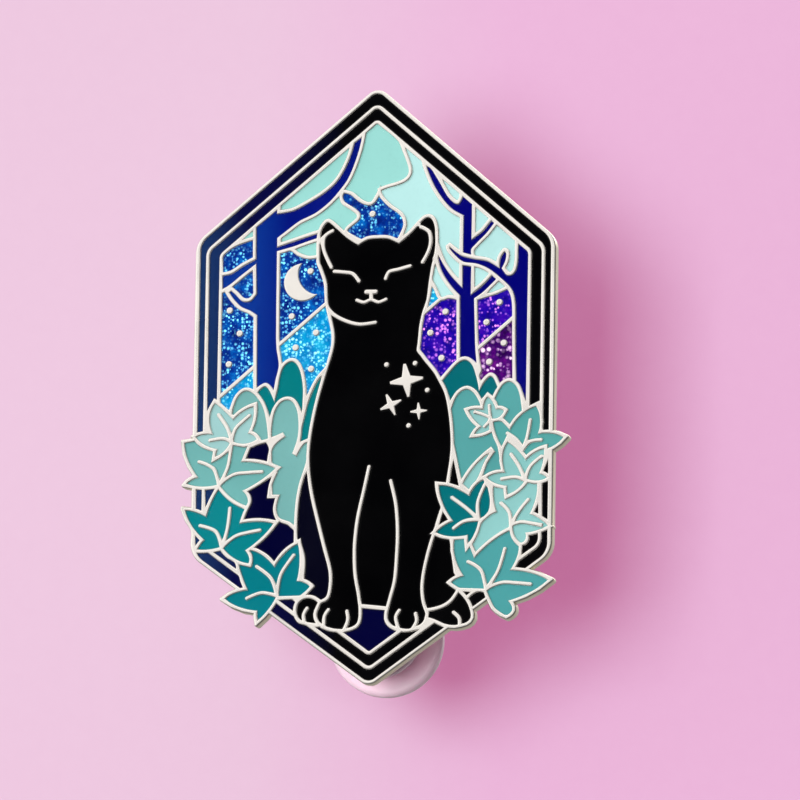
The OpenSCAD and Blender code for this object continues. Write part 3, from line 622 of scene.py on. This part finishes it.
# millimetres: how far the rounding of a line reaches in and down, and that of the outer rim
ROUND, DEEP, STEPS = 0.165, 0.15, 5
RIM_ROUND, RIM_DEEP = 0.24, 0.3
# the narrowest lines still drop as if they were rounded this much
LEAST_ROUND = 0.05
# the edge of the back: how far it is rounded, and a point on the way
BACK_EDGE, BACK_MIDDLE_IN, BACK_MIDDLE_DEEP = 0.12, 0.3, 0.035
# the first rings of the rim belong to the side wall, whose darker beige nickel is painted shade
SIDE_RINGS = 3
SEAT_R, SEAT_STEPS = 2.0, 64
FRONT, REAR, SIDE = 0, 1, 2

plate = Build()
size = insets(lines, ROUND)
size[outer] = insets(lines, RIM_ROUND)[outer]
tops = []
for i, (p, r) in enumerate(zip(lines, size)):
    n = inward(p)
    wide, deep = (RIM_ROUND, RIM_DEEP) if i == outer else (ROUND, DEEP)
    rings = [ring(p, -BACK_EDGE if i == outer else floor_y)]
    for s in range(STEPS + 1):
        a = math.radians(90 * s / STEPS)
        q = p + n * (r * (1 - math.cos(a)))[:, None]
        drop = np.maximum(r, LEAST_ROUND) / wide * deep * (1 - math.sin(a))
        rings.append(ring(q, top_y + drop))
    if i == outer:
        plate.strip(rings[: SIDE_RINGS + 1], SIDE)
        plate.strip(rings[SIDE_RINGS:], FRONT)
    else:
        plate.strip(rings, FRONT)
    tops.append(p + n * r[:, None])
plate.fill(tops, top_y)
plate.fill([p for i, p in enumerate(lines) if i != outer], floor_y)

# back: a softly rounded edge, two round seats
edge = lines[outer]
edge_in = edge + inward(edge) * insets([edge], BACK_EDGE)[0][:, None]
middle = ring(edge + (edge_in - edge) * BACK_MIDDLE_IN, -BACK_MIDDLE_DEEP)
plate.strip([ring(edge_in, 0.0), middle, ring(edge, -BACK_EDGE)], REAR)
seats = []
seat_y = min(v["y0"] for v in posts.values())
turn = np.linspace(0, 2 * math.pi, SEAT_STEPS, endpoint=False)
for v in posts.values():
    circle = np.stack([v["x"] + SEAT_R * np.cos(turn), v["z"] + SEAT_R * np.sin(turn)], 1)
    seats.append(circle[::-1])
    plate.strip([ring(circle, seat_y), ring(circle, 0.0)], REAR)
    plate.fill([circle], seat_y, front=False, material=REAR)
plate.fill([edge_in] + seats, 0.0, front=False, material=REAR)
faces = [nickel, nickel_back, side_nickel_painted_shade]
plate_obj = plate.make("struck_plate", faces, smooth=38, level=True)
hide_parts("metal_plate")
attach(plate_obj, "pin")

# ------------------------------------------------------------------- enamel

colours = {
    "outer_border_enamel": "010103",
    "inner_border_enamel": "010103",
    "undergrowth_enamel": "00002A",
    "ground_enamel": "000030",
    "left_canopy_enamel": "92CFC9",
    "right_canopy_enamel": "B0DDDC",
    "left_tree_enamel": "000F74",
    "right_tree_enamel": "00006C",
    "far_right_tree_enamel": "00006C",
    "left_back_bush_enamel": "00747A",
    "right_back_bush_enamel": "00636C",
    "left_front_bush_enamel": "70A9A7",
    "right_front_bush_enamel": "509A9A",
    "left_haunch_enamel": "020214",
    "right_haunch_enamel": "010102",
    "cat_enamel": "010102",
    "left_hind_paw_enamel": "010102",
    "right_hind_paw_enamel": "010102",
    "left_ivy_bottom_enamel": "007480",
    "left_ivy_third_enamel": "007A82",
    "left_ivy_second_enamel": "69A8A6",
    "left_ivy_top_enamel": "96C2C2",
    "right_ivy_bottom_enamel": "48989A",
    "right_ivy_back_enamel": "509C9A",
    "right_ivy_blade_enamel": "86BEBC",
    "right_ivy_dark_enamel": "006A72",
    "right_ivy_third_enamel": "86BEBC",
    "right_ivy_second_enamel": "80BAB8",
    "right_ivy_small_enamel": "86BAB9",
}
# deep, middle, light and painted glint colour, flakes to the metre, share of flakes that glint
skies = {
    "blue_sky_glitter": ("000E60", "003090", "0072CC", "7CE4FF", 3000.0, 0.42),
    "cyan_sky_glitter": ("0066B0", "0090D0", "18B8E4", "A8F8FF", 3000.0, 0.5),
    "violet_sky_glitter": ("0A0070", "1A00A0", "4A08B0", "F590FF", 2600.0, 0.33),
    "purple_sky_glitter": ("12002A", "3A0064", "7C1090", "FFD0FF", 2100.0, 0.4),
}
# millimetres: how far the resin goes under the metal, how far down its top ring goes there,
# and how far from the metal it starts to climb
UNDER, UNDER_DEEP, CLIMB_REACH = 0.012, 0.04, 0.12
# share of that reach, and the height climbed there
CLIMB = ((0.1, 0.028), (0.35, 0.012), (0.65, 0.003), (1.0, 0.0))


def pool(node, material):
    """A node's enamel: flat in the middle, climbing a little where it meets the metal."""
    loops = [smoothed(p) for p in flat_loops(nodes[node], enamel_y)]
    b = Build()
    widest = []
    for p, r in zip(loops, insets(loops, CLIMB_REACH)):
        n = inward(p)
        out = p - n * UNDER
        rings = [ring(out, floor_y), ring(out, enamel_y - UNDER_DEEP)]
        for share, up in CLIMB:
            rings.append(ring(p + n * (r * share)[:, None], enamel_y - up))
        b.strip(rings)
        widest.append(p + n * r[:, None])
    b.fill(widest, enamel_y)
    b.fill([p - inward(p) * UNDER for p in loops], floor_y, front=False)
    name = node.replace("_enamel", "_resin").replace("_glitter", "_resin")
    obj = b.make(name, [material], smooth=55, level=True)
    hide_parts(node)
    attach(obj, "pin")


# Tones fixed by position at the left: they imitate a reflection in the photograph, and
# they stay where they are when the view changes.
NAVY = ("04053B", -0.010, -0.003)
left_tints = {
    "outer_border_enamel": (NAVY, ("173564", -0.0165, -0.0125)),
    "inner_border_enamel": (NAVY, ("142E5E", -0.015, -0.0115)),
    "left_tree_enamel": (("05308A", -0.011, -0.008),),
}
# nodes of one look share one material
shared = {}
for node, tone in colours.items():
    look = tone, left_tints.get(node)
    if look not in shared:
        shared[look] = enamel("enamel_" + node.replace("_enamel", ""), *look)
    pool(node, shared[look])
for node, look in skies.items():
    pool(node, glitter("flakes_" + node.split("_")[0], *look))

# -------------------------------------------------------- posts and clutches

# nail, in millimetres: the pad's thickness and its bevel, the shank and the fillet at its foot
PAD_T, PAD_BEVEL, SHANK_R, FOOT = 0.3, 0.06, 0.55, 0.12
# the point: distance from its end, and share of the shank's radius there
POINT = ((1.15, 1.0), (1.0, 0.97), (0.24, 0.42), (0.07, 0.25), (0.0, 0.0))
# solder: steps of the fillet, how wide its top is round the shank, and how much that sinks
BEAD_STEPS, BEAD_TOP, BEAD_SINK = 10, 0.2, 0.02
# clutch: the small flange's radius and thickness, the neck, the big flange's thickness
SMALL_R, SMALL_T, NECK_R, BIG_T = 4.0, 1.4, 2.9, 1.7
# rounding of both flanges, of the neck's end at the big one, and of the bore's mouth
FLANGE_ROUND, SHOULDER_ROUND, MOUTH_ROUND = 0.5, 1.0, 0.75
BORE_GAP = 0.03

for which, v in posts.items():
    centre = (v["x"], 0.0, v["z"])
    y0, y1, pad = v["y0"], v["y1"], v["pad_r"]
    pad_y = y0 + PAD_T
    profile = [(0.0, y0), (pad - PAD_BEVEL, y0), (pad, y0 + PAD_BEVEL), (pad, pad_y - PAD_BEVEL)]
    profile += [(pad - PAD_BEVEL, pad_y), (SHANK_R + FOOT, pad_y), (SHANK_R, pad_y + FOOT)]
    profile += [(SHANK_R * share, y1 - back) for back, share in POINT]
    nail = lathe(which + "_nail", profile, centre, steel, 64, 30)
    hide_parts(which + "_post")
    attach(nail, "pin")

    s_lo, s_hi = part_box(which + "_post_solder")
    ring_r, ring_y = (s_hi.x - s_lo.x) / 2 / MM, s_hi.y / MM
    fillet = [(pad, y0)]
    for i in range(BEAD_STEPS + 1):
        a = math.radians(90 * i / BEAD_STEPS)
        out, up = 1 - math.sin(a), 1 - math.cos(a)
        fillet.append((pad + (ring_r - pad) * out, y0 + (ring_y - y0) * up))
    fillet += [(SHANK_R + BEAD_TOP, ring_y), (SHANK_R, ring_y - BEAD_SINK), (SHANK_R, pad_y)]
    bead = lathe(which + "_solder_bead", fillet, centre, dull_solder, 72, 60)
    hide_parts(which + "_post_solder")
    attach(bead, "pin")

    c_lo, c_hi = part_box(which + "_clutch")
    y0, y1 = c_lo.y / MM, c_hi.y / MM
    big = (c_hi.x - c_lo.x) / 2 / MM
    bore, e, g, mouth = SHANK_R + BORE_GAP, FLANGE_ROUND, SHOULDER_ROUND, MOUTH_ROUND
    waist = SMALL_R - e - NECK_R
    lip, low = y1 - BIG_T, y0 + SMALL_T
    # the small end, which faces the plate, with a shallow groove round the bore
    p = [(bore, y0 + mouth)] + arc(bore + mouth, y0 + mouth, mouth, 180, 260, 5)[1:]
    p += [(bore + 1.15, y0 + 0.01), (bore + 1.5, y0 + 0.12), (bore + 1.9, y0 + 0.12)]
    p += [(bore + 2.15, y0)]
    # the small flange, the neck and the big flange
    p += arc(SMALL_R - e, y0 + e, e, -90, 0) + arc(SMALL_R - e, low - e, e, 0, 90)
    p += arc(NECK_R + waist, low + waist, waist, -100, -180)
    p += arc(NECK_R + g, lip - g, g, 180, 90)
    p += arc(big - e, lip + e, e, -90, 0) + arc(big - e, y1 - e, e, 0, 90)
    # the big end, with a groove near its edge and a hollow round the bore
    p += [(big - 1.1, y1 - 0.02), (big - 1.3, y1 - 0.16), (big - 2.3, y1 - 0.2)]
    p += [(big - 2.5, y1 - 0.05), (big - 2.7, y1), (bore + 1.0, y1)]
    p += [(bore + 0.7, y1 - 0.28), (bore + 0.2, y1 - 0.32), (bore, y1 - 0.5), (bore, y0 + mouth)]
    grip = lathe(which + "_rubber_clutch", p, centre, milky, 128, 42)
    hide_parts(which + "_clutch")
    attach(grip, which + "_clutch")

# ---------------------------------------------------------- stage and lights

# metres: the paper's depth, half its width, and where its two tones lie across it, a painted
# shade that grows deeper pink toward +X
PAPER_Y, PAPER_HALF = 0.0235, 0.6
PAINTED_SHADE_FROM, PAINTED_SHADE_TO = -0.016, 0.008
# The paper glows a little by itself, which keeps the pin's shadow on it as saturated as in
# the photograph. No lamp stands for this glow.
PAPER_GLOW = (0.379, 0.029, 0.173, 1)

t = Tree("pink_paper")
split = t.new("ShaderNodeSeparateXYZ")
t.link(t.place(), split.inputs[0])
across = t.grey(split.outputs["X"], 0.0, 1.0, PAINTED_SHADE_FROM, PAINTED_SHADE_TO)
# painted shade: the paper turns a little deeper pink toward +X, as light falling off from the
# left would make it
painted_falloff = t.ramp(across, [(0.0, lin("859094")), (1.0, lin("868492"))])
paper = t.mix(t.grey(t.noise(9, 4), 0.0, 0.12), painted_falloff, lin("898E95"))
t.link(paper, t.bsdf.inputs["Base Color"])
t.set(Emission_Color=PAPER_GLOW, Emission_Strength=1.0)
t.link(t.grey(t.noise(600, 3), 0.5, 0.7), t.bsdf.inputs["Roughness"])
t.link(t.bump(t.noise(1400, 5), 0.2, 0.00006), t.bsdf.inputs["Normal"])
# from behind the paper is clear, so that the pin's back can be seen
facing = t.new("ShaderNodeNewGeometry")
clear = t.new("ShaderNodeBsdfTransparent")
choose = t.new("ShaderNodeMixShader")
t.link(facing.outputs["Backfacing"], choose.inputs[0])
t.link(t.bsdf.outputs[0], choose.inputs[1])
t.link(clear.outputs[0], choose.inputs[2])
t.link(choose.outputs[0], t.out.inputs["Surface"])

me = bpy.data.meshes.new("paper")
corners = ((-1, -1), (1, -1), (1, 1), (-1, 1))
sheet = [(x * PAPER_HALF, PAPER_Y, z * PAPER_HALF) for x, z in corners]
me.from_pydata(sheet, [], [(0, 1, 2, 3)])
me.materials.append(t.mat)
paper_obj = bpy.data.objects.new("paper", me)
scene.collection.objects.link(paper_obj)
# the paper is left out of reflections, shadows cast and bounced light, so none of its
# pink reaches the pin
paper_obj.visible_glossy = paper_obj.visible_shadow = paper_obj.visible_diffuse = False

# strength of the room's light on its dim and its bright side, and where bright is
ROOM_DIM, ROOM_BRIGHT = 0.1, 1.16
BRIGHT_SIDE = (-0.62, -0.36, 0.70)
ROOM_TONE = (1.0, 0.98, 0.965, 1)
# The dark patch lies where a level face of the pin mirrors to this one camera. It makes the
# enamel deep from there; from elsewhere the same enamel mirrors the rest of the room.
MIRROR_X, MIRROR_Z = -0.1835, 0.1515
PATCH_X, PATCH_Z, PATCH_LIGHT = 0.05, 0.06, 0.06

world = bpy.data.worlds.new("room")
scene.world = world
world.use_nodes = True
wt = world.node_tree
bg = wt.nodes["Background"]


def sums(kind, a, b=None, clamp=False):
    """One arithmetic step in the world's nodes."""
    m = wt.nodes.new("ShaderNodeMath")
    m.operation, m.use_clamp = kind, clamp
    for socket, value in zip(m.inputs, (a, b)):
        if isinstance(value, bpy.types.NodeSocket):
            wt.links.new(value, socket)
        elif value is not None:
            socket.default_value = value
    return m.outputs[0]


def smooth_between(value, a, b, low, high):
    r = wt.nodes.new("ShaderNodeMapRange")
    r.interpolation_type = "SMOOTHSTEP"
    for name, v in (("From Min", a), ("From Max", b), ("To Min", low), ("To Max", high)):
        r.inputs[name].default_value = v
    wt.links.new(value, r.inputs["Value"])
    return r.outputs["Result"]


# a soft room: bright above, to the left and in front, dim below and to the right, with a
# light of its own for the back of the pin
where = wt.nodes.new("ShaderNodeTexCoord").outputs["Generated"]
xyz = wt.nodes.new("ShaderNodeSeparateXYZ")
wt.links.new(where, xyz.inputs[0])
dx, dy, dz = xyz.outputs
shares = [sums("MULTIPLY", d, share) for d, share in zip((dx, dy, dz), BRIGHT_SIDE)]
toward = sums("ADD", sums("ADD", shares[0], shares[1]), shares[2])
room_light = smooth_between(toward, -0.35, 0.75, ROOM_DIM, ROOM_BRIGHT)
is_rear = smooth_between(dy, 0.1, 0.6, 0.0, 1.0)
rear = sums("MULTIPLY", is_rear, smooth_between(dz, -0.6, 0.8, 0.45, 0.95))
room_light = sums("MAXIMUM", room_light, rear)
ahead = sums("MAXIMUM", sums("MULTIPLY", dy, -1.0), 0.02)
off_x = sums("DIVIDE", sums("ADD", sums("DIVIDE", dx, ahead), -MIRROR_X), PATCH_X)
off_z = sums("DIVIDE", sums("ADD", sums("DIVIDE", dz, ahead), -MIRROR_Z), PATCH_Z)
squares = sums("ADD", sums("MULTIPLY", off_x, off_x), sums("MULTIPLY", off_z, off_z))
patch = smooth_between(sums("SQRT", squares), 0.8, 1.3, PATCH_LIGHT, 1.0)
wt.links.new(sums("MULTIPLY", room_light, patch), bg.inputs["Strength"])
bg.inputs["Color"].default_value = ROOM_TONE


def lamp(name, at, size, power, tone=(1, 1, 1)):
    """A square lamp that shines at the origin."""
    d = bpy.data.lights.new(name, "AREA")
    d.energy, d.color, d.size = power, tone, size
    o = bpy.data.objects.new(name, d)
    o.location = at
    o.rotation_euler = (-Vector(at)).to_track_quat("-Z", "Y").to_euler()
    scene.collection.objects.link(o)
    return o


key = lamp("key", (-0.122, -0.62, -0.022), 0.28, 5.85, (1.0, 0.99, 0.98))
# the key lamp lights and casts the shadow, but is not mirrored in the metal or the enamel
key.visible_glossy = False
lamp("behind", (0.2, 0.5, 0.4), 0.5, 2.0)

# camera: to the right of the pin and below it; lengths in metres
RIGHT, BELOW, ROLL = (math.radians(angle) for angle in (10.4, 8.4, 0.9))
DIST, SHOWN, SENSOR = 0.8, 0.0719, 36
AIM = Vector((0.00221, 0.0, -0.00115))
cam_data = bpy.data.cameras.new("camera")
cam = bpy.data.objects.new("camera", cam_data)
scene.collection.objects.link(cam)
level = math.cos(BELOW)
back = Vector((math.sin(RIGHT) * level, -math.cos(RIGHT) * level, -math.sin(BELOW)))
cam.location = AIM + back * DIST
cam.rotation_mode = "QUATERNION"
roll = Matrix.Rotation(ROLL, 4, "Z").to_quaternion()
cam.rotation_quaternion = (-back).to_track_quat("-Z", "Y") @ roll
cam_data.sensor_width = SENSOR
cam_data.lens = SENSOR * DIST / SHOWN
cam_data.clip_start, cam_data.clip_end = 0.01, 20
scene.camera = cam
scene.view_settings.view_transform = "Standard"
